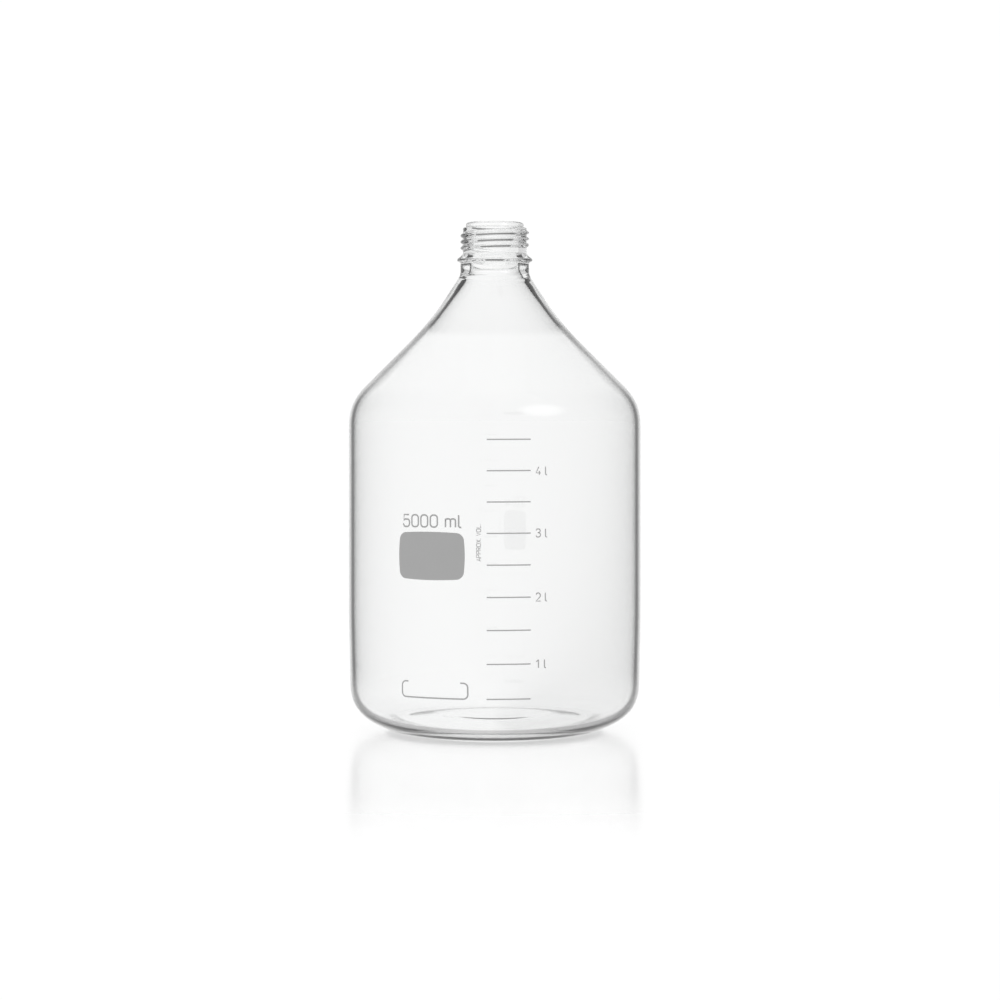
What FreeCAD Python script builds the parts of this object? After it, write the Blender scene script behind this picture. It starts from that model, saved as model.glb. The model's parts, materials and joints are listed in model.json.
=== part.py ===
"""Five litre round laboratory bottle in borosilicate glass, with a GL 45 screw neck and a fired enamel print.

Units are millimetres. Z points up, the origin is the centre of the standing plane, and the print faces -Y.
"""

import FreeCAD, Part
import math
import os

from FreeCAD import Vector

# Overall sizes of the glass
height = 330.0
body_radius = 95.0
body_wall = 3.2
shoulder_wall = 3.0

# Shoulder: below the neck a flare opens into a 45 degree cone, which rounds into the wall
flare_end_radius = 41.3
flare_end_drop = 63.8
flare_angle = 32.6
shoulder_angle = 45.0
shoulder_round = 33.0
flare_round = 172.0
neck_round = 6.0

# Neck and its bead, the ring that a pouring ring sits on
neck_radius = 22.35
bead_height = 2.2
bead_drop = 24.5
bead_crest_width = 1.2
bead_crest_round = 1.1
bead_top_angle = 50.0
bead_underside_angle = 50.0
bead_root_round = 0.7

# Round GL 45 thread, right handed, which sinks into the core at both ends
thread_radius = 22.35
thread_depth = 1.6
thread_pitch = 4.0
thread_turns = 3.56
thread_top_drop = 4.4
thread_top_angle = 200.0
thread_root_width = 3.5
thread_crest_width = 0.9
thread_crest_round = 0.8
thread_sink = 0.7
thread_top_runout = 0.17
thread_bottom_runout = 0.5
thread_points_per_turn = 24

# Mouth: the lip stands above the thread, and the bore runs down into the neck cone
lip_inset = 1.95
lip_height = 3.5
lip_outer_round = 1.6
lip_inner_round = 1.1
lip_step_round = 0.5
mouth_wall = 5.25

# Inside of the flare, where the wall thins towards the shoulder. Rises are measured along the flare.
throat_rise = 0.5
throat_round = 25.0
collar_rise = 19.5
collar_wall = 4.5
collar_round = 30.0
collar_foot_rise = 9.7
collar_foot_wall = 2.6
collar_foot_round = 30.0
collar_lean = 6.5
shoulder_inner_round = 30.0
shoulder_top_round = 60.0

# Foot, heel and base: a slight taper, a rounded heel, a flat standing ring and a pushed-up centre
foot_taper = 1.3
foot_taper_height = 75.0
foot_round = 600.0
heel_width = 26.7
heel_slope = 65.0
heel_round = 26.0
toe_round = 22.0
standing_ring_width = 10.0
push_up_height = 3.6
push_up_slope_width = 8.0
push_up_edge_round = 6.0
push_up_centre_round = 25.0

# Glass thickness in the heel and the base
heel_thickness = 3.8
base_ring_thickness = 4.8
base_thickness = 4.4
heel_inner_round = 22.0
toe_inner_round = 12.0
floor_slope_spread = 2.0
basin_round = 12.0
dome_round = 30.0

# Fired enamel print on the wall. Angles run from -Y towards +X, as seen from the front.
enamel_thickness = 0.1
mark_count = 9
lowest_mark_height = 29.5
highest_mark_headroom = 9.2
mark_spread = 15.5
mark_spread_fade = 10.0
mark_thickness = 0.8
mark_start_angle = -2.9
mark_end_angle = 13.6
mark_tilt = 0.1
field_centre_angle = -24.9
field_centre_height = 117.4
field_width = 45.3
field_height = 29.9
field_bulge = 0.5
field_corner = 5.6
frame_centre_angle = -23.8
frame_bottom_height = 29.4
frame_width = 44.7
frame_height = 9.8
frame_corner = 2.8
frame_line = 0.9
frame_stub = 4.65

# Radii and heights that follow from the sizes above
thread_core_radius = thread_radius - thread_depth
lip_radius = thread_core_radius - lip_inset
bore_radius = thread_core_radius - mouth_wall
bead_radius = neck_radius + bead_height
shoulder_rise = (body_radius - flare_end_radius) / math.tan(math.radians(shoulder_angle))
shoulder_edge_height = height - flare_end_drop - shoulder_rise
wall_top = shoulder_edge_height - shoulder_round * math.tan(math.radians(shoulder_angle) / 2)
inner_radius = body_radius - body_wall
foot_radius = body_radius - foot_taper
standing_ring_radius = foot_radius - heel_width
standing_ring_inner_radius = standing_ring_radius - standing_ring_width
push_up_radius = standing_ring_inner_radius - push_up_slope_width

shoulder_edge = (body_radius, shoulder_edge_height)
flare_end = (flare_end_radius, height - flare_end_drop)


def rounded_outline(corners):
    """Edges through (radius, height, round) corners. Each round is an arc that touches both its sides."""
    points = [Vector(r, 0, z) for r, z, _ in corners]
    edges = []
    last = points[0]
    for before, corner, after, spec in zip(points, points[1:], points[2:], corners[1:]):
        into = (corner - before).normalize()
        out = (after - corner).normalize()
        turn = into.getAngle(out)
        if spec[2] > 0 and turn > 1e-6:
            reach = spec[2] * math.tan(turn / 2)
            start = corner - into * reach
            end = corner + out * reach
            bisector = (out - into).normalize()
            middle = corner + bisector * (spec[2] / math.cos(turn / 2) - spec[2])
            edges.append(Part.LineSegment(last, start).toShape())
            edges.append(Part.Arc(start, middle, end).toShape())
            last = end
        else:
            edges.append(Part.LineSegment(last, corner).toShape())
            last = corner
    edges.append(Part.LineSegment(last, points[-1]).toShape())
    return edges


def crossing(point_a, angle_a, point_b, angle_b):
    """Where two profile lines meet. Each is a point and its lean in degrees, outwards going down."""
    lean_a = math.tan(math.radians(angle_a))
    lean_b = math.tan(math.radians(angle_b))
    z = (point_b[0] - point_a[0] + lean_b * point_b[1] - lean_a * point_a[1]) / (lean_b - lean_a)
    return (point_a[0] + lean_a * (point_a[1] - z), z)


def up(point, angle, length):
    """The point that lies length away, going up along a line that leans outwards going down."""
    lean = math.radians(angle)
    return (point[0] - length * math.sin(lean), point[1] + length * math.cos(lean))


def offset_in(point, angle, wall):
    """The point shifted into the glass, square to a line that leans outwards by angle going down."""
    lean = math.radians(angle)
    return (point[0] - wall * math.cos(lean), point[1] - wall * math.sin(lean))


def neck_corner():
    """Where the straight neck meets the flare."""
    return crossing((neck_radius, height), 0.0, flare_end, flare_angle)


def bead_corners():
    """Corners of the bead from the thread core down to the neck."""
    crest_top = height - bead_drop + bead_crest_width / 2
    crest_bottom = crest_top - bead_crest_width
    top_rise = (bead_radius - thread_core_radius) / math.tan(math.radians(bead_top_angle))
    underside = (bead_radius - neck_radius) / math.tan(math.radians(bead_underside_angle))
    return [
        (thread_core_radius, crest_top + top_rise, bead_root_round),
        (bead_radius, crest_top, bead_crest_round),
        (bead_radius, crest_bottom, bead_crest_round),
        (neck_radius, crest_bottom - underside, bead_root_round),
    ]


def foot_corners(grow=0.0):
    """Corners of the wall from the shoulder to the standing ring, moved outwards by grow."""
    heel_rise = (foot_radius - standing_ring_radius) / math.tan(math.radians(heel_slope))
    heel_lift = grow * math.tan(math.radians(heel_slope) / 2)
    return [
        (body_radius + grow, foot_taper_height, foot_round + grow),
        (foot_radius + grow, heel_rise - heel_lift, heel_round + grow),
        (standing_ring_radius, 0.0, toe_round),
    ]


def outer_corners():
    """Corners of the outside, from the mouth down to the centre of the base."""
    return [
        (lip_radius, height, lip_outer_round),
        (lip_radius, height - lip_height, lip_step_round),
        (thread_core_radius, height - lip_height, lip_step_round),
        *bead_corners(),
        (*neck_corner(), neck_round),
        (*flare_end, flare_round),
        (*shoulder_edge, shoulder_round),
        *foot_corners(),
        (standing_ring_inner_radius, 0.0, push_up_edge_round),
        (push_up_radius, push_up_height, push_up_centre_round),
        (0.0, push_up_height, 0.0),
    ]


def heel_inner_corners():
    """Corners of the inside of the heel: the flat ring above the standing ring, and the wall."""
    lean = math.radians(heel_slope)
    heel = foot_corners()[1]
    shifted = (heel[0] - heel_thickness * math.cos(lean), heel[1] + heel_thickness * math.sin(lean))
    foot_inner = foot_radius - body_wall
    wall = crossing((foot_inner, 0.0), 0.0, shifted, -heel_slope)
    toe_radius = shifted[0] - (shifted[1] - base_ring_thickness) * math.tan(lean)
    return [
        (toe_radius, base_ring_thickness, toe_inner_round),
        (*wall, heel_inner_round),
        (inner_radius, foot_taper_height, foot_round),
    ]


def inner_corners():
    """Corners of the inside, from the centre of the base up to the mouth."""
    shoulder_line = offset_in(shoulder_edge, shoulder_angle, shoulder_wall)
    inner_shoulder = crossing((inner_radius, 0.0), 0.0, shoulder_line, shoulder_angle)
    throat = (bore_radius, neck_corner()[1] + throat_rise)
    collar = offset_in(up(flare_end, flare_angle, collar_rise), flare_angle, collar_wall)
    collar_foot = offset_in(up(flare_end, flare_angle, collar_foot_rise), flare_angle, collar_foot_wall)
    shoulder_top = crossing(collar_foot, shoulder_angle - collar_lean, shoulder_line, shoulder_angle)
    dome_top = push_up_height + base_thickness
    return [
        (0.0, dome_top, 0.0),
        (push_up_radius - floor_slope_spread, dome_top, dome_round),
        (standing_ring_inner_radius + floor_slope_spread, base_ring_thickness, basin_round),
        *heel_inner_corners(),
        (*inner_shoulder, shoulder_inner_round),
        (*shoulder_top, shoulder_top_round),
        (*collar_foot, collar_foot_round),
        (*collar, collar_round),
        (*throat, throat_round),
        (bore_radius, height, lip_inner_round),
    ]


def glass_body():
    """The blown bottle without its thread: one closed profile turned about the axis."""
    lip_middle = (0.5 * (bore_radius + lip_radius), height, 0.0)
    loop = [lip_middle, *outer_corners(), *inner_corners(), lip_middle]
    profile = Part.Face(Part.Wire(rounded_outline(loop)))
    return profile.revolve(Vector(0, 0, 0), Vector(0, 0, 1), 360)


def thread_radius_at(turn):
    """Crest radius of the thread along its length, counted in turns from its top end."""
    sunk = thread_core_radius - thread_sink
    share = min(1.0, turn / thread_top_runout, (thread_turns - turn) / thread_bottom_runout)
    return sunk + (thread_radius - sunk) * share * share * (3 - 2 * share)


def thread_path():
    """Points along the crest of the thread, from its top end down."""
    steps = math.ceil(thread_turns * thread_points_per_turn)
    points = []
    for step in range(steps + 1):
        turn = thread_turns * step / steps
        angle = math.radians(thread_top_angle) - 2 * math.pi * turn
        radius = thread_radius_at(turn)
        z = height - thread_top_drop - thread_pitch * turn
        points.append(Vector(radius * math.cos(angle), radius * math.sin(angle), z))
    return points


def thread_section():
    """Cross-section of the ridge in the XZ plane, with its crest at the origin."""
    depth = thread_radius - thread_core_radius + thread_sink
    flank = (thread_root_width - thread_crest_width) / 2
    half_crest = thread_crest_width / 2
    half_root = half_crest + flank * depth / (thread_radius - thread_core_radius)
    corners = [
        (-depth, 0.0, 0.0),
        (-depth, half_root, 0.0),
        (0.0, half_crest, thread_crest_round),
        (0.0, -half_crest, thread_crest_round),
        (-depth, -half_root, 0.0),
        (-depth, 0.0, 0.0),
    ]
    return Part.Wire(rounded_outline(corners))


def thread_ridge():
    """The helical ridge. Its root lies inside the core, so that it joins the neck."""
    points = thread_path()
    spine = Part.BSplineCurve()
    spine.interpolate(points)
    section = thread_section()
    start = points[0]
    section.translate(Vector(math.hypot(start.x, start.y), 0, start.z))
    section.rotate(Vector(0, 0, 0), Vector(0, 0, 1), thread_top_angle)
    sweep = Part.BRepOffsetAPI.MakePipeShell(Part.Wire(spine.toShape()))
    sweep.setBiNormalMode(Vector(0, 0, 1))
    sweep.add(section)
    sweep.build()
    sweep.makeSolid()
    return sweep.shape()


def facing(shape, angle):
    """Turns a shape that faces -Y round to its place on the wall."""
    turned = shape.copy()
    turned.rotate(Vector(0, 0, 0), Vector(0, 0, 1), angle)
    return turned


def wall_solid(grow):
    """A solid inside the wall from the foot to the shoulder, grown outwards by a thickness."""
    upper = [(0.0, wall_top, 0.0), (body_radius + grow, wall_top, 0.0)]
    outline = rounded_outline([*upper, *foot_corners(grow), (0.0, 0.0, 0.0)])
    outline.append(Part.LineSegment(Vector(0, 0, 0), Vector(0, 0, wall_top)).toShape())
    return Part.Face(Part.Wire(outline)).revolve(Vector(0, 0, 0), Vector(0, 0, 1), 360)


def enamel_band():
    """A skin of enamel thickness over the wall, from which the print is cut."""
    return wall_solid(enamel_thickness).cut(wall_solid(0.0))


def printed(flat, angle, band):
    """The enamel where a flat face, drawn in XZ and seen from -Y, falls on the wall at an angle."""
    prism = flat.extrude(Vector(0, -2 * body_radius, 0))
    return facing(prism, angle).common(band)


def sloping_strip(low_left, low_right, depth):
    """A flat face in XZ between two lower corners, as deep as given."""
    up = Vector(0, 0, depth)
    return Part.Face(Part.makePolygon([low_left, low_right, low_right + up, low_left + up, low_left]))


def mark_heights():
    """Heights of the half-litre marks. The lower ones stand a little further apart than the upper ones."""
    span = wall_top - highest_mark_headroom - lowest_mark_height
    heights = []
    for step in range(mark_count):
        share = step / (mark_count - 1)
        lift = share * (1 - share) * (mark_spread - mark_spread_fade * share)
        heights.append(lowest_mark_height + span * share + lift)
    return heights


def graduation_scale(band):
    """The half-litre marks, each a short line round the wall that rises a little to the right."""
    middle = 0.5 * (mark_start_angle + mark_end_angle)
    half = body_radius * math.sin(math.radians(mark_end_angle - mark_start_angle) / 2)
    marks = []
    for z in mark_heights():
        low_left = Vector(-half, 0, z - mark_thickness / 2 - mark_tilt / 2)
        low_right = Vector(half, 0, z - mark_thickness / 2 + mark_tilt / 2)
        marks.extend(printed(sloping_strip(low_left, low_right, mark_thickness), middle, band).Solids)
    return Part.makeCompound(marks)


def writing_field(band):
    """The plain field to write on: a rectangle with round corners and slightly bowed sides."""
    flat_x = field_width / 2 - field_corner
    flat_z = field_height / 2 - field_corner
    turn = field_corner - field_bulge
    slant = turn * math.sqrt(0.5)
    right = [(flat_x + turn, -flat_z), (field_width / 2, 0.0), (flat_x + turn, flat_z)]
    upper_right = [(flat_x + turn, flat_z), (flat_x + slant, flat_z + slant), (flat_x, flat_z + turn)]
    top = [(flat_x, flat_z + turn), (0.0, field_height / 2), (-flat_x, flat_z + turn)]
    upper_left = [(-flat_x, flat_z + turn), (-flat_x - slant, flat_z + slant), (-flat_x - turn, flat_z)]
    edges = []
    for side in (1, -1):
        for arc in (right, upper_right, top, upper_left):
            points = [Vector(side * x, 0, field_centre_height + side * z) for x, z in arc]
            edges.append(Part.Arc(*points).toShape())
    return printed(Part.Face(Part.Wire(edges)), field_centre_angle, band).Solids[0]


def frame_loop(grow):
    """The outline of the code frame, moved outwards from the middle of its line by grow."""
    right = frame_width / 2 + grow
    top = frame_bottom_height + frame_height + grow
    bottom = frame_bottom_height - grow
    corner = frame_corner + grow
    corners = [(0.0, top, 0.0), (right, top, corner), (right, bottom, corner)]
    corners += [(-right, bottom, corner), (-right, top, corner), (0.0, top, 0.0)]
    return Part.Face(Part.Wire(rounded_outline(corners)))


def code_frame(band):
    """A thin frame with round corners for a batch number, open in the middle of its top."""
    ring = frame_loop(frame_line / 2).cut(frame_loop(-frame_line / 2))
    gap_width = frame_width - 2 * frame_stub
    gap_left = Vector(-gap_width / 2, 0, frame_bottom_height + frame_height - frame_line)
    gap = sloping_strip(gap_left, gap_left + Vector(gap_width, 0, 0), 2 * frame_line)
    return printed(ring.cut(gap), frame_centre_angle, band).Solids[0]


def bottle():
    """The whole glass piece: the blown body with the thread ridge melted to its neck."""
    fused = glass_body().fuse(thread_ridge())
    return fused.Solids[0]


def main():
    os.makedirs("parts", exist_ok=True)
    band = enamel_band()
    pieces = {
        "bottle": bottle(),
        "graduation_scale": graduation_scale(band),
        "writing_field": writing_field(band),
        "code_frame": code_frame(band),
    }
    for name, shape in pieces.items():
        shape.exportStep(f"parts/{name}.step")


main()
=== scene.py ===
"""The looks of a five litre borosilicate laboratory bottle: clear glass, fired print and a bright studio.

Sizes are in millimetres and angles in degrees, and MM turns lengths into the scene's metres. Z points up,
the bottle stands on the floor at the origin, and its print faces -Y.
"""
import json
import logging
import math
from dataclasses import dataclass, field
from enum import Enum
from typing import Any

import bmesh
import bpy
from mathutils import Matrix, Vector

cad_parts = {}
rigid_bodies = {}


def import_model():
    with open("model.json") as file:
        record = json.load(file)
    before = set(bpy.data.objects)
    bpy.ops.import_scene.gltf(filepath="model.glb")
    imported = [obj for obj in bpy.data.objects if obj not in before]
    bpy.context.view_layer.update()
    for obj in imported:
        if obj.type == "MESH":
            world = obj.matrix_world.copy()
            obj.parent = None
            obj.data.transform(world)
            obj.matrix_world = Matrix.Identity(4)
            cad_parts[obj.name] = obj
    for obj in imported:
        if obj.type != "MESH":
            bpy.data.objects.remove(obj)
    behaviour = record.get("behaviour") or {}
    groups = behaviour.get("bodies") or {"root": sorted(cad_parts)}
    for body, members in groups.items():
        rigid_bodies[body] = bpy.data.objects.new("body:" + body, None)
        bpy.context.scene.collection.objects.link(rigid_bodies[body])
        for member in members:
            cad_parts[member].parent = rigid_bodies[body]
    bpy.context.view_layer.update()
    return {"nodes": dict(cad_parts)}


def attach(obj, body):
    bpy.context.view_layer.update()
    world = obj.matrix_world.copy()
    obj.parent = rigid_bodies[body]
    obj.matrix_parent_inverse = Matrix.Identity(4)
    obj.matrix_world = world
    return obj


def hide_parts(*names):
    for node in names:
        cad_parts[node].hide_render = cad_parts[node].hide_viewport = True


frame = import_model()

MM = 0.001
LOG = logging.getLogger("bottle")

Corner = tuple[float, float, float]
Point = tuple[float, float]
Colour = tuple[float, float, float, float]

# Points closer than this, in millimetres, are one point, and smaller turns, in radians, are none.
SAME_PLACE = 1e-6
SMALL_TURN = 1e-4

# Bends of this radius or more start and end gently, and are this much longer than an arc.
GENTLE_ROUND = 20.0
GENTLE_LENGTH = 4 / 3

# The corners of a square that reaches 1 to each side of its middle.
SQUARE = ((-1, -1), (1, -1), (1, 1), (-1, 1))

WHITE = (1.0, 1.0, 1.0, 1.0)
BLACK = (0.0, 0.0, 0.0, 1.0)


class Slot(Enum):
    """The record's material slots."""

    GLASS = "glass"
    ENAMEL = "enamel"


class Level:
    """A number that varies over a surface: an output socket, with Python's operators as Math nodes."""

    def __init__(self, tree: "Tree", socket: bpy.types.NodeSocket) -> None:
        """Wraps a socket of a tree."""
        self.tree = tree
        self.socket = socket

    def math(self, operation: str, *others: Any) -> "Level":
        """Adds a Math node whose first value is this one.

        Args:
            operation: The node's operation.
            others: The other values, numbers or levels.

        Returns:
            The node's result.
        """
        values = {place + 1: value for place, value in enumerate(others)}
        made = self.tree.node("ShaderNodeMath", {"operation": operation}, {0: self, **values})
        return Level(self.tree, made.outputs[0])

    def __add__(self, other: Any) -> "Level":
        """This plus other."""
        return self.math("ADD", other)

    __radd__ = __add__

    def __mul__(self, other: Any) -> "Level":
        """This times other."""
        return self.math("MULTIPLY", other)

    __rmul__ = __mul__

    def __sub__(self, other: Any) -> "Level":
        """This less other."""
        return self.math("SUBTRACT", other)

    def __rsub__(self, other: Any) -> "Level":
        """Other less this."""
        return self.math("MULTIPLY", -1.0) + other

    def __truediv__(self, other: Any) -> "Level":
        """This divided by other."""
        return self.math("DIVIDE", other)

    def over(self, limit: float) -> "Level":
        """1 where this is more than the limit, and else 0."""
        return self.math("GREATER_THAN", limit)

    def under(self, limit: Any) -> "Level":
        """1 where this is less than the limit, and else 0."""
        return self.math("LESS_THAN", limit)

    def between(self, low: Any, high: Any) -> "Level":
        """Goes smoothly from 0 at low to 1 at high."""
        settings = {"interpolation_type": "SMOOTHSTEP"}
        inputs = {"Value": self, "From Min": low, "From Max": high}
        made = self.tree.node("ShaderNodeMapRange", settings, inputs)
        return Level(self.tree, made.outputs["Result"])


class Tree:
    """A node tree that is built by name."""

    def __init__(self, tree: bpy.types.NodeTree) -> None:
        """Empties the tree and takes it over."""
        self.tree = tree
        self.tree.nodes.clear()

    def node(
        self,
        kind: str,
        settings: dict[str, Any] | None = None,
        inputs: dict[str | int, Any] | None = None,
    ) -> bpy.types.Node:
        """Adds a node.

        Args:
            kind: The node's type.
            settings: Its settings, which are set first.
            inputs: Values or links for its sockets, by name or number.

        Returns:
            The node.
        """
        made = self.tree.nodes.new(kind)
        for name, value in (settings or {}).items():
            setattr(made, name, value)
        for name, value in (inputs or {}).items():
            source = value.socket if isinstance(value, Level) else value
            target = self.socket(made.inputs, name)
            if isinstance(source, bpy.types.NodeSocket):
                self.tree.links.new(source, target)
            else:
                target.default_value = source
        return made

    @staticmethod
    def socket(sockets: Any, name: str | int) -> bpy.types.NodeSocket:
        """The socket of that number, or the one in use that has that name."""
        if isinstance(name, int):
            return sockets[name]
        return next(found for found in sockets if found.name == name and found.enabled)

    def level(self, kind: str, output: str | int = 0, **extra: Any) -> Level:
        """Adds a node and wraps one of its outputs.

        Args:
            kind: The node's type.
            output: The output's name or number.
            extra: What node() takes: settings and inputs.

        Returns:
            The output as a level.
        """
        return Level(self, self.socket(self.node(kind, **extra).outputs, output))

    def ray(self, fact: str) -> Level:
        """What is known of the ray that meets the surface, such as how often it has crossed glass."""
        return self.level("ShaderNodeLightPath", fact)

    def axis(self, vector: bpy.types.NodeSocket, name: str) -> Level:
        """One coordinate of a vector."""
        return self.level("ShaderNodeSeparateXYZ", name, inputs={"Vector": vector})


class GeometryRecipe(Tree):
    """A Geometry Nodes tree with named inputs, which is run once on a mesh and leaves a plain mesh."""

    def __init__(self, name: str, sizes: dict[str, float]) -> None:
        """Makes the tree and its inputs.

        Args:
            name: The tree's name.
            sizes: The named inputs and their values.
        """
        super().__init__(bpy.data.node_groups.new(name, "GeometryNodeTree"))
        self.sizes = sizes
        face = self.tree.interface
        face.new_socket("Geometry", in_out="INPUT", socket_type="NodeSocketGeometry")
        face.new_socket("Geometry", in_out="OUTPUT", socket_type="NodeSocketGeometry")
        self.ids = {}
        for size in sizes:
            socket = face.new_socket(size, in_out="INPUT", socket_type="NodeSocketFloat")
            self.ids[size] = socket.identifier
        self.source = self.node("NodeGroupInput")

    def size(self, name: str) -> Level:
        """One of the named inputs."""
        return Level(self, self.source.outputs[name])

    def geometry(self) -> bpy.types.NodeSocket:
        """The mesh that the recipe starts from."""
        return self.source.outputs["Geometry"]

    def position(self) -> tuple[Level, Level, Level]:
        """The three coordinates of each point."""
        place = self.node("GeometryNodeInputPosition").outputs["Position"]
        return (self.axis(place, "X"), self.axis(place, "Y"), self.axis(place, "Z"))

    def end(self, shape: bpy.types.NodeSocket, material: bpy.types.Material, smooth: bool) -> None:
        """Closes the tree: real meshes, smooth shading and the material.

        Args:
            shape: The geometry to end with.
            material: What it is made of.
            smooth: Whether its faces are shaded smooth.
        """
        whole = self.node("GeometryNodeRealizeInstances", inputs={"Geometry": shape}).outputs[0]
        inputs = {"Geometry": whole, "Shade Smooth": smooth}
        shaded = self.node("GeometryNodeSetShadeSmooth", inputs=inputs).outputs[0]
        inputs = {"Geometry": shaded, "Material": material}
        dressed = self.node("GeometryNodeSetMaterial", inputs=inputs)
        self.node("NodeGroupOutput", inputs={"Geometry": dressed.outputs[0]})

    def run(self, name: str, start: bpy.types.Mesh) -> bpy.types.Object:
        """Runs the recipe on a mesh.

        Args:
            name: The finished piece's name.
            start: The mesh that the recipe starts from.

        Returns:
            The finished object, at the origin, with a plain mesh.
        """
        worker = put_in_scene(name + "_recipe", start)
        modifier = worker.modifiers.new("recipe", "NODES")
        modifier.node_group = self.tree
        for size, value in self.sizes.items():
            modifier[self.ids[size]] = value
        graph = bpy.context.evaluated_depsgraph_get()
        mesh = bpy.data.meshes.new_from_object(worker.evaluated_get(graph), depsgraph=graph)
        bpy.data.objects.remove(worker)
        mesh.name = name
        face_outwards(mesh)
        return put_in_scene(name, mesh)


def put_in_scene(name: str, data: bpy.types.ID) -> bpy.types.Object:
    """Makes an object of a mesh or a camera, at the origin."""
    made = bpy.data.objects.new(name, data)
    bpy.context.scene.collection.objects.link(made)
    return made


def new_material(name: str) -> tuple[bpy.types.Material, Tree]:
    """Makes a material, and returns it with its empty node tree."""
    made = bpy.data.materials.new(name)
    made.use_nodes = True
    return made, Tree(made.node_tree)


def face_outwards(mesh: bpy.types.Mesh) -> None:
    """Turns a closed mesh's faces round if they point inwards."""
    work = bmesh.new()
    work.from_mesh(mesh)
    if work.calc_volume(signed=True) < 0:
        bmesh.ops.reverse_faces(work, faces=work.faces)
        work.to_mesh(mesh)
    work.free()


def line_mesh(name: str, lines: list[list[Vector]]) -> bpy.types.Mesh:
    """A mesh of open or closed lines, in metres.

    Args:
        name: The mesh's name.
        lines: Each line's points in millimetres. A line whose ends meet is closed.

    Returns:
        The mesh, which has edges and no faces.
    """
    points = []
    edges = []
    for line in lines:
        first = len(points)
        closed = (line[0] - line[-1]).length < SAME_PLACE
        kept = line[:-1] if closed else line
        points += [point * MM for point in kept]
        edges += [(first + step, first + step + 1) for step in range(len(kept) - 1)]
        if closed:
            edges.append((first + len(kept) - 1, first))
    mesh = bpy.data.meshes.new(name)
    mesh.from_pydata(points, edges, [])
    return mesh


def rounded(corners: list[Corner], error: float) -> list[Point]:
    """Points along a path of straight runs and tangent bends.

    Tight bends are arcs. Wide ones start and end gently, as soft glass does.

    Args:
        corners: (x, y, round) of each corner; the first and last are ends.
        error: How far a bend's chords may leave it.

    Returns:
        The path's points.
    """
    path = [Vector(corners[0][:2])]
    for before, corner, after in zip(corners, corners[1:], corners[2:]):
        middle = Vector(corner[:2])
        into = (middle - Vector(before[:2])).normalized()
        out = (Vector(after[:2]) - middle).normalized()
        turn = into.angle(out)
        bend_radius = corner[2]
        if bend_radius <= 0 or turn < SMALL_TURN:
            path.append(middle)
            continue
        gentle = bend_radius >= GENTLE_ROUND
        steps = max(2, math.ceil(turn / (2 * math.acos(1 - min(0.5, error / bend_radius)))))
        steps = math.ceil(steps * GENTLE_LENGTH) if gentle else steps
        length = bend_radius * turn * (GENTLE_LENGTH if gentle else 1.0) / steps
        side = Vector((-into.y, into.x)) * (1.0 if into.cross(out) > 0 else -1.0)
        bend = [Vector((0.0, 0.0))]
        for step in range(steps):
            share = (step + 0.5) / steps
            heading = turn * (share * share * (3 - 2 * share) if gentle else share)
            bend.append(bend[-1] + (into * math.cos(heading) + side * math.sin(heading)) * length)
        start = middle - into * bend[-1].length / (2 * math.cos(turn / 2))
        path += [start + point for point in bend]
    path.append(Vector(corners[-1][:2]))
    return [(point.x, point.y) for point in path]


def lean(angle: float) -> float:
    """The radius gained for each millimetre down a line that leans outwards by an angle."""
    return math.tan(math.radians(angle))


def crossing(point_a: Point, angle_a: float, point_b: Point, angle_b: float) -> Point:
    """Where two profile lines meet. Each is a point and its lean in degrees, outwards going down."""
    a, b = lean(angle_a), lean(angle_b)
    z = (point_b[0] - point_a[0] + b * point_b[1] - a * point_a[1]) / (b - a)
    return (point_a[0] + a * (point_a[1] - z), z)


def inside_of(point: Point, angle: float, rise: float, wall: float) -> Point:
    """The point that lies up a leaning line by rise, and into the glass by wall."""
    sin, cos = math.sin(math.radians(angle)), math.cos(math.radians(angle))
    return (point[0] - rise * sin - wall * cos, point[1] + rise * cos - wall * sin)


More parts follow.
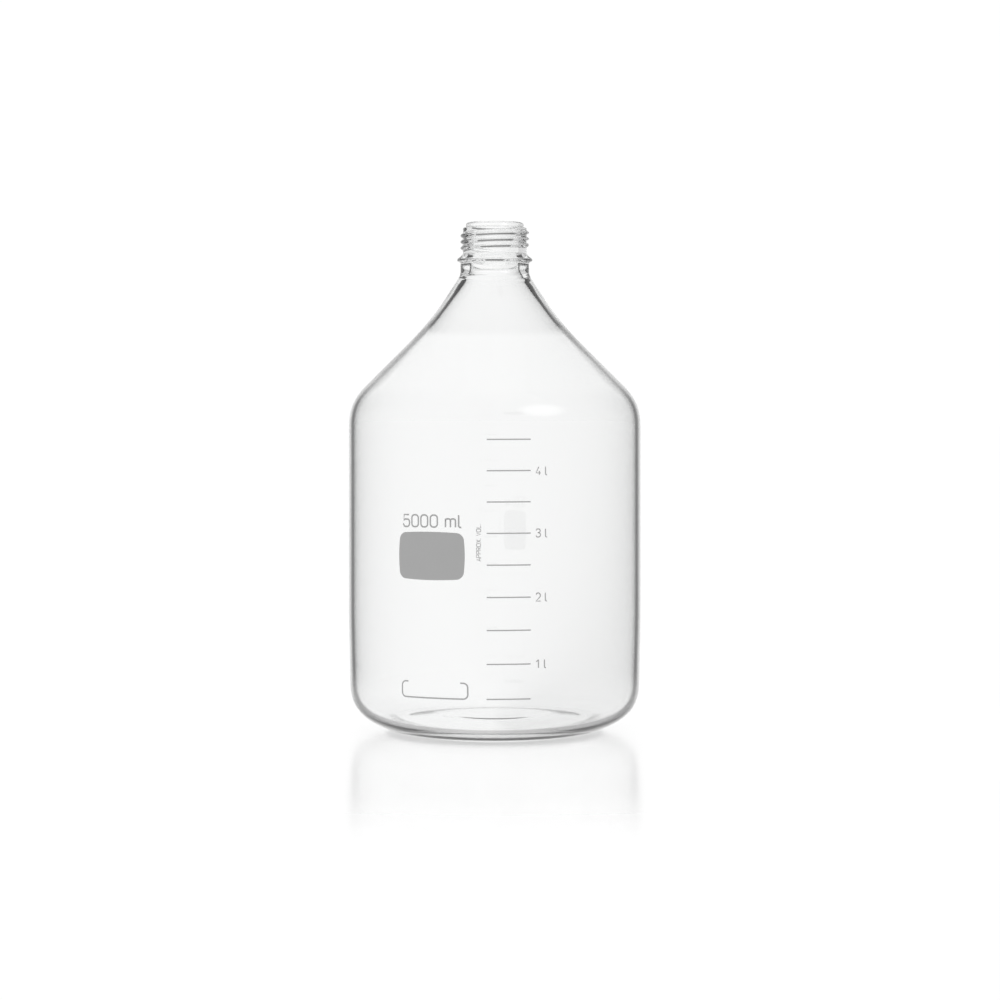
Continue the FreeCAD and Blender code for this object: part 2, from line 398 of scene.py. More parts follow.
@dataclass(frozen=True)
class ClearGlass:
    """Fire-polished borosilicate glass, nearly colourless, with the faint waves of blown glass."""

    refraction: float = 1.473
    roughness: float = 0.004
    tint: Colour = (0.986, 0.988, 0.987, 1.0)
    # Painted shade: the darker colour that the glass takes on towards its outline.
    edge_tint: Colour = (0.845, 0.85, 0.85, 1.0)
    body_colour: Colour = (0.58, 0.62, 0.61, 1.0)
    body_density: float = 2.0
    wave_scale: float = 14.0
    wave_height: float = 0.012

    # The slants between which the painted dark line lies, where the inside throws light to the side: on the
    # way in, and once it is mirrored.
    line_start: float = 0.257
    line_dark: float = 0.269
    line_end: float = 0.294
    side_dark: float = 0.236
    side_end: float = 0.248

    # The heights over which each stretch of the painted dark line fades in or out, and what changes there.
    wall_foot: Point = (12.0, 45.0)
    wall_top: Point = (208.0, 226.0)
    neck_foot: Point = (256.0, 262.0)
    neck_top: Point = (302.0, 303.5)
    neck_widening: float = 0.012
    thick_foot: Point = (290.0, 300.0)
    thick_side: float = 0.045

    # How dark the painted shade is in the bends, in the pressed finish and in the base.
    bend_tone: float = 0.45
    finish_tone: float = 0.22
    finish_foot: Point = (302.0, 304.5)
    base_tone: float = 0.35
    base_top: Point = (2.0, 18.0)

    # A thin grey rim of painted shade at the outline, between two slants.
    rim_tone: float = 0.25
    rim_start: Point = (0.64, 0.74)
    rim_end: Point = (0.79, 0.86)

    def material(self) -> bpy.types.Material:
        """The glass, with absorption in its body, painted shade that darkens its colour towards the outline,
        and black painted in where the room is dark.
        """
        made, tree = new_material("clear_glass")
        place = tree.node("ShaderNodeTexCoord").outputs["Object"]
        inputs = {"Vector": place, "Scale": self.wave_scale, "Detail": 1.0}
        waves = tree.level("ShaderNodeTexNoise", "Fac", inputs=inputs)
        inputs = {"Height": waves, "Strength": 1.0, "Distance": self.wave_height * MM}
        bump = tree.node("ShaderNodeBump", inputs=inputs).outputs["Normal"]
        slant = tree.level("ShaderNodeLayerWeight", "Facing", inputs={"Blend": 0.5})
        # Painted shade: the colour goes from the tint to the darker edge colour where the surface turns away
        # from the ray.
        mix = {"Factor": slant * slant, "A": self.tint, "B": self.edge_tint}
        colour = tree.level("ShaderNodeMix", "Result", settings={"data_type": "RGBA"}, inputs=mix)
        values = {"Base Color": colour, "Roughness": self.roughness, "IOR": self.refraction}
        values |= {"Transmission Weight": 1.0, "Normal": bump}
        clear = tree.node("ShaderNodeBsdfPrincipled", inputs=values).outputs["BSDF"]
        # Painted shade: black mixed into the glass where its dark lines are painted.
        painted_black = tree.node("ShaderNodeBsdfDiffuse", inputs={"Color": BLACK}).outputs["BSDF"]
        mix = {0: self.unlit_share(tree, slant, tree.axis(place, "Z")), 1: clear, 2: painted_black}
        surface = tree.node("ShaderNodeMixShader", inputs=mix).outputs["Shader"]
        body = {"Color": self.body_colour, "Density": self.body_density}
        volume = tree.node("ShaderNodeVolumeAbsorption", inputs=body).outputs["Volume"]
        tree.node("ShaderNodeOutputMaterial", inputs={"Surface": surface, "Volume": volume})
        return made

    def unlit_share(self, tree: Tree, slant: Level, height: Level) -> Level:
        """How much black is painted into the glass: painted shade that stands in for the dark sides of the
        room.

        Where light would enter by the wall's outside, be thrown back from its inside and leave to one side,
        the painted shade draws the dark line along each edge.

        Args:
            tree: The glass.
            slant: How far the surface turns from the ray.
            height: The height above the floor, in metres.

        Returns:
            1 where the glass is painted black, and else 0.
        """
        crossed = tree.ray("Transmission Depth")
        once = crossed.over(0.5) * crossed.under(1.5)
        inside = tree.level("ShaderNodeNewGeometry", "Backfacing")
        finish = height.between(self.finish_foot[0] * MM, self.finish_foot[1] * MM)
        above_base = height.between(self.base_top[0] * MM, self.base_top[1] * MM)
        tone = finish * (self.finish_tone - self.bend_tone) + self.bend_tone
        tone = tone * (above_base * (1.0 - self.base_tone) + self.base_tone)
        bend = slant.between(self.line_start, self.line_dark) * tone
        wall = self.stretch(height, self.wall_foot, self.wall_top)
        neck = self.stretch(height, self.neck_foot, self.neck_top)
        line = self.edge_line(tree, slant, height, neck)
        # Painted shade: a thin grey rim along the outline, for rays that crossed no glass.
        rim = slant.between(*self.rim_start) * (1.0 - slant.between(*self.rim_end)) * self.rim_tone
        outside = crossed.under(0.5) * (1.0 - finish)
        return outside * rim + once * inside * (bend + (wall + neck) * (line - bend))

    def edge_line(self, tree: Tree, slant: Level, height: Level, neck: Level) -> Level:
        """The dark line of painted shade on the straight wall and the neck.

        Args:
            tree: The glass.
            slant: How far the surface turns from the ray.
            height: The height above the floor, in metres.
            neck: 1 along the neck's flare, where the line is wider.

        Returns:
            1 in the line, and else 0.
        """
        line_end = neck * self.neck_widening + self.line_end
        way_in = slant.between(self.line_start, self.line_dark)
        way_in = way_in * (1.0 - slant.between(self.line_dark, line_end))
        thick = height.between(self.thick_foot[0] * MM, self.thick_foot[1] * MM)
        side = 1.0 - (slant + thick * self.thick_side).between(self.side_dark, self.side_end)
        return way_in + tree.ray("Is Reflection Ray") * (side - way_in)

    @staticmethod
    def stretch(height: Level, foot: Point, top: Point) -> Level:
        """1 along a stretch of the bottle's height and 0 away from it, with both ends faded."""
        return height.between(foot[0] * MM, foot[1] * MM) * (1.0 - height.between(top[0] * MM, top[1] * MM))


@dataclass(frozen=True)
class FiredEnamel:
    """White ceramic enamel, screen printed and fired, its colour painted grey: painted shade for how it
    looks against the bright ground.
    """

    name: str = "fired_enamel"
    # Painted shade: these greys stand for the white enamel in shade; the random clouds and grain between
    # them are its own.
    light: Colour = (0.37, 0.37, 0.37, 1.0)
    shade: Colour = (0.34, 0.34, 0.34, 1.0)
    cloud_scale: float = 60.0
    grain_scale: float = 900.0
    grain_height: float = 0.02
    grain_strength: float = 0.3
    roughness: float = 0.45
    roughness_range: float = 0.1

    def material(self) -> bpy.types.Material:
        """The enamel in painted grey shade, with a fine grain and faint clouds in its tone."""
        made, tree = new_material(self.name)
        place = tree.node("ShaderNodeTexCoord").outputs["Object"]
        grain, cloud = (
            tree.level("ShaderNodeTexNoise", "Fac", inputs={"Vector": place, "Scale": scale})
            for scale in (self.grain_scale, self.cloud_scale)
        )
        tone = (grain + cloud) * 0.5
        mix = {"Factor": tone, "A": self.shade, "B": self.light}
        colour = tree.level("ShaderNodeMix", "Result", settings={"data_type": "RGBA"}, inputs=mix)
        relief = {"Height": grain, "Strength": self.grain_strength, "Distance": self.grain_height * MM}
        bump = tree.node("ShaderNodeBump", inputs=relief)
        rough = grain * self.roughness_range + (self.roughness - self.roughness_range / 2)
        values = {"Base Color": colour, "Roughness": rough, "Normal": bump.outputs["Normal"]}
        surface = tree.node("ShaderNodeBsdfPrincipled", inputs=values).outputs["BSDF"]
        tree.node("ShaderNodeOutputMaterial", inputs={"Surface": surface})
        return made


@dataclass(frozen=True)
class Bends:
    """The radius of each bend of the glass, down the outside, across the floor and up the inside."""

    lip: float = 1.6
    lip_foot: float = 0.5
    bead_root: float = 0.7
    bead_crest: float = 1.1
    bead_edge: float = 0.8
    bead_foot: float = 0.6
    neck: float = 10.0
    flare: float = 172.0
    shoulder: float = 33.0
    foot_taper: float = 600.0
    heel: float = 26.0
    standing_ring: float = 22.0
    push_up_foot: float = 25.0
    push_up: float = 60.0
    floor_middle: float = 60.0
    floor_slope: float = 30.0
    floor_toe: float = 12.0
    floor_wall: float = 22.0
    shoulder_inside: float = 30.0
    flare_inside: float = 170.0
    throat: float = 25.0
    mouth: float = 1.1


@dataclass
class Bottle:
    """The glass piece: a closed profile turned about the axis, with the thread raised on its neck."""

    height: float = 330.0
    body_radius: float = 95.0
    body_wall: float = 3.2
    shoulder_wall: float = 3.0
    flare_end_radius: float = 41.3
    flare_end_drop: float = 63.8
    flare_angle: float = 32.6
    flare_wall: float = 3.2
    flare_wall_rise: float = 5.0
    flare_thickening: float = 3.2
    shoulder_angle: float = 45.0
    neck_radius: float = 22.35
    bead_height: float = 2.2
    bead_drop: float = 24.5
    bead_crest_width: float = 1.2
    bead_flank_angle: float = 50.0
    bead_underside_angle: float = 62.0
    thread_radius: float = 22.35
    thread_depth: float = 1.6
    thread_pitch: float = 4.0
    thread_turns: float = 3.56
    thread_top_drop: float = 4.4
    thread_top_angle: float = 200.0
    thread_root_width: float = 3.5
    thread_crest_width: float = 0.9
    thread_sink: float = 0.7
    thread_top_runout: float = 0.17
    thread_bottom_runout: float = 0.5
    thread_rounding: float = 0.4
    lip_inset: float = 1.95
    lip_height: float = 3.5
    mouth_wall: float = 5.25
    foot_taper: float = 1.3
    foot_taper_height: float = 75.0
    heel_width: float = 26.7
    heel_slope: float = 65.0
    heel_thickness: float = 3.8
    standing_ring_width: float = 10.0
    push_up_height: float = 3.6
    push_up_slope_width: float = 20.0
    base_ring_thickness: float = 4.8
    base_thickness: float = 4.4
    arc_error: float = 0.008
    thread_row: float = 0.14
    segments: int = 240
    seam_gap: float = 0.002
    core_tolerance: float = 0.01
    bends: Bends = field(default_factory=Bends)
    glass: ClearGlass = field(default_factory=ClearGlass)

    @property
    def core_radius(self) -> float:
        """The neck's radius between the turns of the thread."""
        return self.thread_radius - self.thread_depth

    @property
    def bore_radius(self) -> float:
        """The radius of the mouth's bore."""
        return self.core_radius - self.mouth_wall

    @property
    def foot_radius(self) -> float:
        """The wall's radius above the heel."""
        return self.body_radius - self.foot_taper

    @property
    def flare_end(self) -> Point:
        """Where the flare leaves the shoulder cone."""
        return (self.flare_end_radius, self.height - self.flare_end_drop)

    def shoulder_edge(self) -> Point:
        """Where the shoulder cone would meet the straight wall."""
        return crossing((self.body_radius, 0.0), 0.0, self.flare_end, self.shoulder_angle)

    def neck_outside(self) -> list[Corner]:
        """The outside's corners from the lip down to the end of the flare."""
        core, top = self.core_radius, self.height
        lip = core - self.lip_inset
        crest = self.neck_radius + self.bead_height
        flank = lean(self.bead_flank_angle)
        crest_top = top - self.bead_drop + self.bead_crest_width / 2
        crest_low = crest_top - self.bead_crest_width
        bead_foot = crest_low - self.bead_height / lean(self.bead_underside_angle)
        bends = self.bends
        return [
            (lip, top, bends.lip),
            (lip, top - self.lip_height, bends.lip_foot),
            (core, top - self.lip_height, bends.lip_foot),
            (core, crest_top + (crest - core) / flank, bends.bead_root),
            (crest, crest_top, bends.bead_crest),
            (crest, crest_low, bends.bead_edge),
            (self.neck_radius, bead_foot, bends.bead_foot),
            (*crossing((self.neck_radius, top), 0.0, self.flare_end, self.flare_angle), bends.neck),
            (*self.flare_end, bends.flare),
        ]

    def body_outside(self) -> list[Corner]:
        """The outside's corners from the shoulder to the middle of the base."""
        ring = self.foot_radius - self.heel_width
        push_up_start = ring - self.standing_ring_width
        bends = self.bends
        return [
            (*self.shoulder_edge(), bends.shoulder),
            (self.body_radius, self.foot_taper_height, bends.foot_taper),
            (self.foot_radius, self.heel_width / lean(self.heel_slope), bends.heel),
            (ring, 0.0, bends.standing_ring),
            (push_up_start, 0.0, bends.push_up_foot),
            (push_up_start - self.push_up_slope_width, self.push_up_height, bends.push_up),
            (0.0, self.push_up_height, 0.0),
        ]

    def floor_inside(self) -> list[Corner]:
        """The inside's corners from the middle of the base to the wall."""
        ring = self.foot_radius - self.heel_width
        push_up_start = ring - self.standing_ring_width
        dome = self.push_up_height + self.base_thickness
        angle = math.radians(self.heel_slope)
        heel_z = self.heel_width / lean(self.heel_slope) + self.heel_thickness * math.sin(angle)
        heel = (self.foot_radius - self.heel_thickness * math.cos(angle), heel_z)
        wall = crossing((self.foot_radius - self.body_wall, 0.0), 0.0, heel, -self.heel_slope)
        toe = heel[0] - (heel[1] - self.base_ring_thickness) * lean(self.heel_slope)
        bends = self.bends
        return [
            (0.0, dome, 0.0),
            (push_up_start - self.push_up_slope_width, dome, bends.floor_middle),
            (push_up_start, self.base_ring_thickness, bends.floor_slope),
            (toe, self.base_ring_thickness, bends.floor_toe),
            (*wall, bends.floor_wall),
            (self.body_radius - self.body_wall, self.foot_taper_height, bends.foot_taper),
        ]

    def neck_inside(self) -> list[Corner]:
        """The inside's corners from the shoulder up to the mouth."""
        wall = (self.body_radius - self.body_wall, 0.0)
        shoulder = inside_of(self.shoulder_edge(), self.shoulder_angle, 0.0, self.shoulder_wall)
        flare = inside_of(self.flare_end, self.flare_angle, self.flare_wall_rise, self.flare_wall)
        flare_angle = self.flare_angle + self.flare_thickening
        return [
            (*crossing(wall, 0.0, shoulder, self.shoulder_angle), self.bends.shoulder_inside),
            (*crossing(flare, flare_angle, shoulder, self.shoulder_angle), self.bends.flare_inside),
            (*crossing((self.bore_radius, 0.0), 0.0, flare, flare_angle), self.bends.throat),
            (self.bore_radius, self.height, self.bends.mouth),
        ]

    def profile(self) -> list[Point]:
        """The whole profile, from the middle of the base round the mouth to the middle of the floor."""
        outside = [*self.neck_outside(), *self.body_outside()]
        inside = [*self.floor_inside(), *self.neck_inside()]
        corners = [*reversed(outside), *reversed(inside)]
        points = rounded(corners, self.arc_error)
        top = self.height - self.lip_height
        rows = [points[0]]
        for point in points[1:]:
            last = rows[-1]
            off_core = max(abs(place[0] - self.core_radius) for place in (point, last))
            if off_core < self.core_tolerance and max(point[1], last[1]) <= top:
                steps = math.ceil(abs(point[1] - last[1]) / self.thread_row)
                for step in range(1, steps):
                    rows.append((point[0], last[1] + (point[1] - last[1]) * step / steps))
            rows.append(point)
        return rows

    def recipe(self) -> GeometryRecipe:
        """Turns a profile about the axis and raises the thread on the neck."""
        sizes = {
            "Segments": float(self.segments),
            "Thread Radius": self.thread_radius * MM,
            "Thread Depth": self.thread_depth * MM,
            "Thread Pitch": self.thread_pitch * MM,
            "Thread Turns": self.thread_turns,
            "Thread Top": (self.height - self.thread_top_drop) * MM,
            "Thread Start": math.radians(self.thread_top_angle) / math.tau,
            "Root Width": self.thread_root_width * MM,
            "Crest Width": self.thread_crest_width * MM,
            "Lip Step": (self.height - self.lip_height) * MM,
        }
        tree = GeometryRecipe("turned_glass", sizes)
        inputs = {"Geometry": tree.geometry()}
        rows = tree.level("GeometryNodeAttributeDomainSize", "Point Count", inputs=inputs)
        columns = tree.size("Segments") + 1.0
        inputs = {"Vertices X": rows, "Vertices Y": columns}
        grid = tree.node("GeometryNodeMeshGrid", inputs=inputs).outputs["Mesh"]
        index = tree.level("GeometryNodeInputIndex")
        row = ((index + 0.5) / columns).math("FLOOR")
        turn = (index - row * columns) / tree.size("Segments")
        place = tree.node("GeometryNodeInputPosition").outputs["Position"]
        inputs = {"Geometry": tree.geometry(), "Value": place, "Index": row}
        sample = tree.node("GeometryNodeSampleIndex", {"data_type": "FLOAT_VECTOR"}, inputs).outputs["Value"]
        z = tree.axis(sample, "Z")
        radius = self.with_thread(tree, tree.axis(sample, "X"), z, turn)
        angle = turn * math.tau
        parts = {"X": radius * angle.math("COSINE"), "Y": radius * angle.math("SINE"), "Z": z}
        target = tree.node("ShaderNodeCombineXYZ", inputs=parts).outputs["Vector"]
        turned = tree.node("GeometryNodeSetPosition", inputs={"Geometry": grid, "Position": target})
        inputs = {"Geometry": turned.outputs["Geometry"], "Distance": self.seam_gap * MM}
        closed = tree.node("GeometryNodeMergeByDistance", inputs=inputs).outputs["Geometry"]
        tree.end(closed, self.glass.material(), smooth=True)
        return tree

    def with_thread(self, tree: GeometryRecipe, radius: Level, z: Level, turn: Level) -> Level:
        """The radius of a point of the glass once the thread is raised there.

        Args:
            tree: The recipe.
            radius: The profile's radius.
            z: The profile's height.
            turn: The point's place round the axis, in turns.

        Returns:
            The radius with the thread.
        """
        pitch = tree.size("Thread Pitch")
        along = (tree.size("Thread Top") - z) / pitch
        lead = tree.size("Thread Start") - turn
        place = lead + (along - lead).math("ROUND")
        after_start = place * (1 / self.thread_top_runout)
        before_end = (tree.size("Thread Turns") - place) * (1 / self.thread_bottom_runout)
        share = after_start.math("MINIMUM", before_end)
        sunk = tree.size("Thread Radius") - tree.size("Thread Depth") - self.thread_sink * MM
        crest = sunk + (tree.size("Thread Radius") - sunk) * share.between(0.0, 1.0)
        aside = (along - place).math("ABSOLUTE") * pitch
        flank = (tree.size("Root Width") - tree.size("Crest Width")) * 0.5
        slope = tree.size("Thread Depth") / flank
        fall = slope * (aside - tree.size("Crest Width") * 0.5)
        ridge = crest - fall.math("SMOOTH_MAX", 0.0, self.thread_rounding * MM)
        raised = radius.math("SMOOTH_MAX", ridge, self.thread_rounding * MM)
        outside = radius.over((self.core_radius - self.mouth_wall / 2) * MM)
        below_lip = z.under(tree.size("Lip Step"))
        return radius + outside * below_lip * (raised - radius)

    def build(self) -> bpy.types.Object:
        """Makes the glass piece in the place of its CAD node."""
        profile = [[Vector((radius, 0.0, z)) for radius, z in self.profile()]]
        piece = self.recipe().run("bottle_glass", line_mesh("bottle_profile", profile))
        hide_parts("bottle")
        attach(piece, "root")
        LOG.info("%s: %d rows, %d faces", piece.name, len(profile[0]), len(piece.data.polygons))
        return piece


@dataclass(frozen=True)
class Glyph:
    """A character drawn with strokes of one width, in units of the height of a capital."""

    advance: float
    strokes: tuple[tuple[Corner, ...], ...]


# The round of a small bowl, and each character's strokes: (x, y, round) of their corners.
BOWL = 0.22
GLYPHS = {
    " ": Glyph(0.42, ()),
    "0": Glyph(0.78, (
        ((0.28, 1, 0), (0.56, 1, 0.27), (0.56, 0, 0.27), (0, 0, 0.27), (0, 1, 0.27), (0.28, 1, 0)),
    )),
    "1": Glyph(0.62, (((0.02, 0.76, 0), (0.3, 1, 0.02), (0.3, 0, 0)),)),
    "2": Glyph(0.74, (
        ((0.02, 0.8, 0), (0.02, 1, 0.2), (0.53, 1, 0.25), (0.53, 0.56, 0.2), (0, 0, 0), (0.56, 0, 0)),
    )),
    "3": Glyph(0.76, (
        ((0.02, 0.84, 0), (0.02, 1, 0.16), (0.52, 1, BOWL), (0.52, 0.54, BOWL), (0.2, 0.54, 0)),
        ((0.2, 0.54, 0), (0.55, 0.54, 0.26), (0.55, 0, 0.26), (0, 0, 0.2), (0, 0.2, 0)),
    )),
    "4": Glyph(0.76, (((0.34, 1, 0), (0, 0.24, 0), (0.58, 0.24, 0)), ((0.42, 0.48, 0), (0.42, 0, 0)))),
    "5": Glyph(0.76, (
        ((0.5, 1, 0), (0.06, 1, 0), (0.03, 0.5, 0), (0.15, 0.62, 0.1), (0.55, 0.62, 0.24), (0.55, 0, 0.27),
         (0, 0, 0.24), (0, 0.18, 0)),
    )),
    "l": Glyph(0.42, (((0.04, 1.02, 0), (0.04, 0, 0.14), (0.24, 0, 0)),)),
    "m": Glyph(0.96, (
        ((0, 0, 0), (0, 0.72, 0)),
        ((0, 0.5, 0), (0, 0.7, 0.15), (0.38, 0.7, 0.17), (0.38, 0, 0)),
        ((0.38, 0.5, 0), (0.38, 0.7, 0.15), (0.76, 0.7, 0.17), (0.76, 0, 0)),
    )),
    "A": Glyph(0.76, (((0, 0, 0), (0.29, 1, 0), (0.58, 0, 0)), ((0.1, 0.32, 0), (0.48, 0.32, 0)))),
    "P": Glyph(0.74, (((0, 0, 0), (0, 1, 0), (0.54, 1, 0.24), (0.54, 0.46, 0.24), (0, 0.46, 0)),)),
    "R": Glyph(0.76, (
        ((0, 0, 0), (0, 1, 0), (0.54, 1, 0.24), (0.54, 0.46, 0.24), (0, 0.46, 0)),
        ((0.28, 0.46, 0), (0.56, 0, 0)),
    )),
    "O": Glyph(0.82, (
        ((0.3, 1, 0), (0.6, 1, 0.29), (0.6, 0, 0.29), (0, 0, 0.29), (0, 1, 0.29), (0.3, 1, 0)),
    )),
    "X": Glyph(0.76, (((0, 0, 0), (0.56, 1, 0)), ((0, 1, 0), (0.56, 0, 0)))),
    "V": Glyph(0.74, (((0, 1, 0), (0.28, 0, 0), (0.56, 1, 0)),)),
    "L": Glyph(0.64, (((0, 1, 0), (0, 0, 0), (0.46, 0, 0)),)),
    ".": Glyph(0.26, (((0.02, 0, 0), (0.02, 0.12, 0)),)),
}


@dataclass(frozen=True)
class Lettering:
    """A line of printed characters on the wall, placed by the left end of its base line."""

    text: str
    cap_height: float
    angle: float
    z: float
    stroke: float
    width: float = 1.0
    upright: bool = False
    bend_error: float = 0.01

    def lines(self, body_radius: float) -> list[list[Vector]]:
        """Its strokes on the wall laid flat.

        Args:
            body_radius: The wall's radius, which turns the angle into a length round it.

        Returns:
            Lines in millimetres: x runs round the wall and z up it.
        """
        start = math.radians(self.angle) * body_radius
        cap = self.cap_height
        wide = self.width * cap
        round_scale = min(1.0, self.width) * cap
        found = []
        pen = 0.0
        for character in self.text:
            glyph = GLYPHS[character]
            for stroke in glyph.strokes:
                corners = [(pen + x * wide, y * cap, bend * round_scale) for x, y, bend in stroke]
                flat = rounded(corners, self.bend_error)
                if self.upright:
                    found.append([Vector((start - y, 0.0, self.z + x)) for x, y in flat])
                else:
                    found.append([Vector((start + x, 0.0, self.z + y)) for x, y in flat])
            pen += glyph.advance * wide
        return found


@dataclass
class Print:
    """The fired print: fields and marks that the CAD holds, and the characters beside them."""

    body_radius: float = 95.0
    enamel_thickness: float = 0.1
    numeral_height: float = 5.0
    numeral_angle: float = 15.7
    numeral_stroke: float = 0.72
    litre_heights: tuple[float, ...] = (51.1, 92.3, 131.8, 170.2)
    capacity: Lettering = Lettering("5000 ml", cap_height=7.4, angle=-36.6, z=135.3, stroke=1.0, width=1.148)
    note: Lettering = Lettering(
        "APPROX. VOL.", cap_height=2.7, angle=-5.1, z=114.6, stroke=0.46, width=1.11, upright=True
    )
    section_points: int = 8
    enamel: FiredEnamel = field(default_factory=FiredEnamel)

    def numbers(self) -> list[Lettering]:
        """The litre numbers at every other mark."""
        cap, angle, stroke = self.numeral_height, self.numeral_angle, self.numeral_stroke
        return [
            Lettering(f"{litre} l", cap, angle, mark - cap / 2, stroke)
            for litre, mark in enumerate(self.litre_heights, start=1)
        ]

    def recipe(self, stroke: float, material: bpy.types.Material) -> GeometryRecipe:
        """Gives lines a flat oval section and wraps them round the wall.

        Args:
            stroke: The width of the print's lines.
            material: The enamel.

        Returns:
            The recipe.
        """
        sizes = {
            "Wall Radius": self.body_radius * MM,
            "Line Width": stroke * MM,
            "Line Depth": self.enamel_thickness * MM,
        }
        tree = GeometryRecipe("printed_lines", sizes)
        curve = tree.node("GeometryNodeMeshToCurve", inputs={"Mesh": tree.geometry()}).outputs["Curve"]
        ring = {"Resolution": self.section_points, "Radius": tree.size("Line Width") * 0.5}
        section = tree.node("GeometryNodeCurvePrimitiveCircle", inputs=ring).outputs["Curve"]
        inputs = {"Curve": curve, "Profile Curve": section, "Fill Caps": True}
        tubes = tree.node("GeometryNodeCurveToMesh", inputs=inputs).outputs["Mesh"]
        x, y, z = tree.position()
        out = tree.size("Wall Radius") - y * tree.size("Line Depth") / tree.size("Line Width") * 2.0
        angle = x / tree.size("Wall Radius")
        parts = {"X": out * angle.math("SINE"), "Y": out * angle.math("COSINE") * -1.0, "Z": z}
        target = tree.node("ShaderNodeCombineXYZ", inputs=parts).outputs["Vector"]
        wrapped = tree.node("GeometryNodeSetPosition", inputs={"Geometry": tubes, "Position": target})
        tree.end(wrapped.outputs["Geometry"], material, smooth=True)
        return tree

    def lettering(self, name: str, texts: list[Lettering], material: bpy.types.Material) -> bpy.types.Object:
        """Prints some lines of characters as one piece."""
        lines = [line for text in texts for line in text.lines(self.body_radius)]
        piece = self.recipe(texts[0].stroke, material).run(name, line_mesh(name, lines))
        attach(piece, "root")
        LOG.info("%s: %d strokes", name, len(lines))
        return piece

    def build(self) -> None:
        """Dresses the CAD's enamel and prints the characters."""
        material = self.enamel.material()
        for name in ("graduation_scale", "writing_field", "code_frame"):
            node = frame["nodes"][name]
            node.data.materials.clear()
            node.data.materials.append(material)
            LOG.info("%s: enamel", name)
        self.lettering("scale_numbers", self.numbers(), material)
        self.lettering("capacity_text", [self.capacity], material)
        self.lettering("volume_note", [self.note], material)


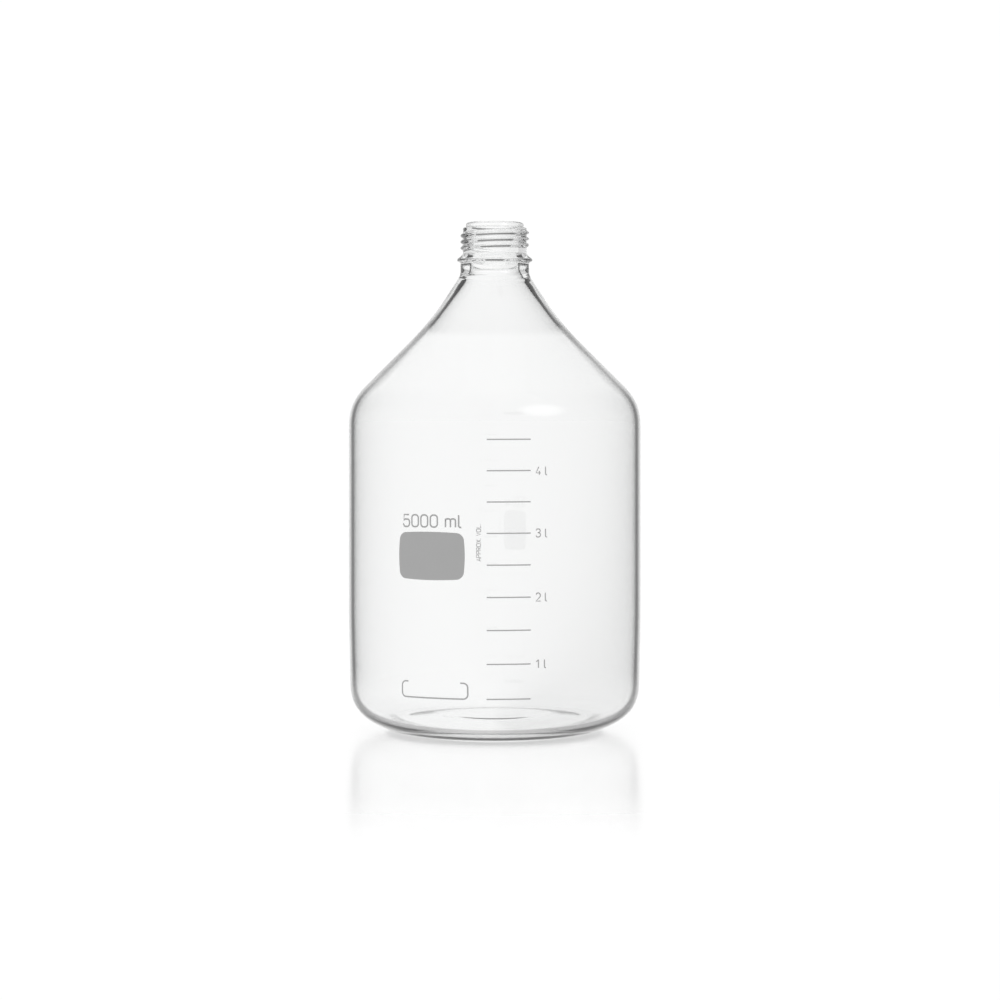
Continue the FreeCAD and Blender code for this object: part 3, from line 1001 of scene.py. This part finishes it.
@dataclass
class Studio:
    """The bright ground, its light and the camera."""

    floor_reach: float = 60000.0
    floor_tone: float = 0.1
    floor_glow: float = 0.92
    floor_gloss: float = 0.42
    floor_roughness: float = 0.18
    polish_full: float = 250.0
    polish_end: float = 500.0

    # Through the glass the room is dark overhead and a little darker to the right. The limits are the
    # height and the x of a ray's direction.
    sky_light: float = 1.02
    through_light: float = 1.02
    dim_light: float = 0.06
    ceiling_low: float = 0.24
    ceiling_high: float = 0.64
    shade_start: float = -0.08
    shade_end: float = 0.24
    shade_tone: float = 0.13

    # The panel stands off from the place on the glass where its highlight lies.
    highlight_place: Corner = (30.0, -90.0, 207.7)
    softbox_away: Corner = (562.0, -660.0, 465.0)
    softbox_size: Point = (800.0, 600.0)
    softbox_light: float = 2.2

    # The picture is square, and its horizon is above the middle.
    focal_pixels: float = 2600.0
    picture_pixels: float = 1000.0
    horizon_row: float = 415.0
    sensor_width: float = 36.0
    camera_place: Corner = (3.4, -1695.0, 204.6)

    def floor(self) -> bpy.types.Object:
        """The plain white floor, which glows evenly and shows a faint reflection near the bottle."""
        reach = self.floor_reach * MM
        mesh = bpy.data.meshes.new("floor")
        mesh.from_pydata([(x * reach, y * reach, 0.0) for x, y in SQUARE], [], [(0, 1, 2, 3)])
        made = put_in_scene("floor", mesh)
        material, tree = new_material("floor_surface")
        tone = (self.floor_tone, self.floor_tone, self.floor_tone, 1.0)
        matt = tree.node("ShaderNodeBsdfDiffuse", inputs={"Color": tone}).outputs["BSDF"]
        place = tree.node("ShaderNodeTexCoord").outputs["Object"]
        way = tree.node("ShaderNodeVectorMath", {"operation": "NORMALIZE"}, {0: place}).outputs["Vector"]
        strength = self.falloff(tree, way) * self.floor_glow
        glow = tree.node("ShaderNodeEmission", inputs={"Strength": strength}).outputs["Emission"]
        bright = tree.node("ShaderNodeAddShader", inputs={0: matt, 1: glow}).outputs["Shader"]
        inputs = {"Color": WHITE, "Roughness": self.floor_roughness}
        gloss = tree.node("ShaderNodeBsdfGlossy", inputs=inputs).outputs["BSDF"]
        settings = {"operation": "LENGTH"}
        distance = tree.level("ShaderNodeVectorMath", "Value", settings=settings, inputs={0: place})
        near = 1.0 - distance.between(self.polish_full * MM, self.polish_end * MM)
        mix = {0: tree.ray("Is Camera Ray") * near * self.floor_gloss, 1: bright, 2: gloss}
        surface = tree.node("ShaderNodeMixShader", inputs=mix).outputs["Shader"]
        tree.node("ShaderNodeOutputMaterial", inputs={"Surface": surface})
        mesh.materials.append(material)
        return made

    def falloff(self, tree: Tree, way: bpy.types.NodeSocket) -> Level:
        """How bright the room looks through the glass: a little darker towards +X.

        Args:
            tree: The material or world that it is for.
            way: The direction in which the room is seen.

        Returns:
            1 where it is fully bright, which it is everywhere for rays that crossed no glass.
        """
        shade = tree.axis(way, "X").between(self.shade_start, self.shade_end) * self.shade_tone
        return 1.0 - tree.ray("Transmission Depth").over(0.5) * shade

    def sky(self) -> None:
        """A white surround. Rays that went through glass and met no mirroring find it dark overhead."""
        world = bpy.data.worlds.new("studio")
        bpy.context.scene.world = world
        world.use_nodes = True
        tree = Tree(world.node_tree)
        way = tree.node("ShaderNodeTexCoord").outputs["Generated"]
        straight = tree.ray("Glossy Depth").under(0.5)
        overhead = straight * tree.axis(way, "Z").between(self.ceiling_low, self.ceiling_high)
        through = self.through_light + overhead * (self.dim_light - self.through_light)
        through = through * self.falloff(tree, way)
        no_glass = tree.ray("Transmission Depth").under(0.5)
        plain = tree.ray("Diffuse Depth").over(0.5).math("MAXIMUM", no_glass)
        strength = through + plain * (self.sky_light - through)
        light = tree.node("ShaderNodeBackground", inputs={"Color": WHITE, "Strength": strength})
        tree.node("ShaderNodeOutputWorld", inputs={"Surface": light.outputs["Background"]})

    def softbox(self) -> bpy.types.Object:
        """The light panel whose reflection is the highlight on the shoulder. It fades to its edges."""
        target = Vector(self.highlight_place) * MM
        centre = target + Vector(self.softbox_away) * MM
        turn = (target - centre).to_track_quat("-Z", "Y").to_matrix()
        half_width, half_height = (size / 2 * MM for size in self.softbox_size)
        corners = [Vector((x * half_width, y * half_height, 0.0)) for x, y in SQUARE]
        mesh = bpy.data.meshes.new("softbox")
        mesh.from_pydata([centre + turn @ corner for corner in corners], [], [(0, 1, 2, 3)])
        mesh.uv_layers.new(name="panel")
        for loop, (x, y) in zip(mesh.uv_layers["panel"].data, SQUARE):
            loop.uv = ((x + 1) / 2, (y + 1) / 2)
        made = put_in_scene("softbox", mesh)
        material, tree = new_material("softbox_light")
        place = tree.node("ShaderNodeUVMap").outputs["UV"]
        across, up = (tree.axis(place, name) * 2.0 - 1.0 for name in ("X", "Y"))
        strength = (1.0 - (across * across + up * up).between(0.0, 1.0)) * self.softbox_light
        glow = tree.node("ShaderNodeEmission", inputs={"Strength": strength}).outputs["Emission"]
        room = tree.node("ShaderNodeBsdfTransparent").outputs["BSDF"]
        surface = tree.node("ShaderNodeAddShader", inputs={0: glow, 1: room}).outputs["Shader"]
        tree.node("ShaderNodeOutputMaterial", inputs={"Surface": surface})
        mesh.materials.append(material)
        for kind in ("camera", "diffuse", "transmission", "volume_scatter", "shadow"):
            setattr(made, "visible_" + kind, False)
        return made

    def camera(self) -> bpy.types.Object:
        """A level camera with a long lens, whose picture is shifted down to hold the whole bottle."""
        lens = bpy.data.cameras.new("camera")
        lens.sensor_width = self.sensor_width
        lens.lens = self.focal_pixels / self.picture_pixels * self.sensor_width
        lens.shift_y = (self.horizon_row - self.picture_pixels / 2) / self.picture_pixels
        made = put_in_scene("camera", lens)
        made.location = Vector(self.camera_place) * MM
        made.rotation_euler = (math.radians(90), 0.0, 0.0)
        bpy.context.scene.camera = made
        return made

    def build(self) -> None:
        """Sets up the floor, the light and the camera."""
        scene = bpy.context.scene
        scene.view_settings.view_transform = "Standard"
        self.camera()
        self.floor()
        self.sky()
        self.softbox()


def main() -> None:
    """Builds the studio, the bottle and its print."""
    logging.basicConfig(level=logging.INFO, format="%(name)s: %(message)s")
    Studio().build()
    Bottle().build()
    Print().build()


if __name__ == "__main__":
    main()
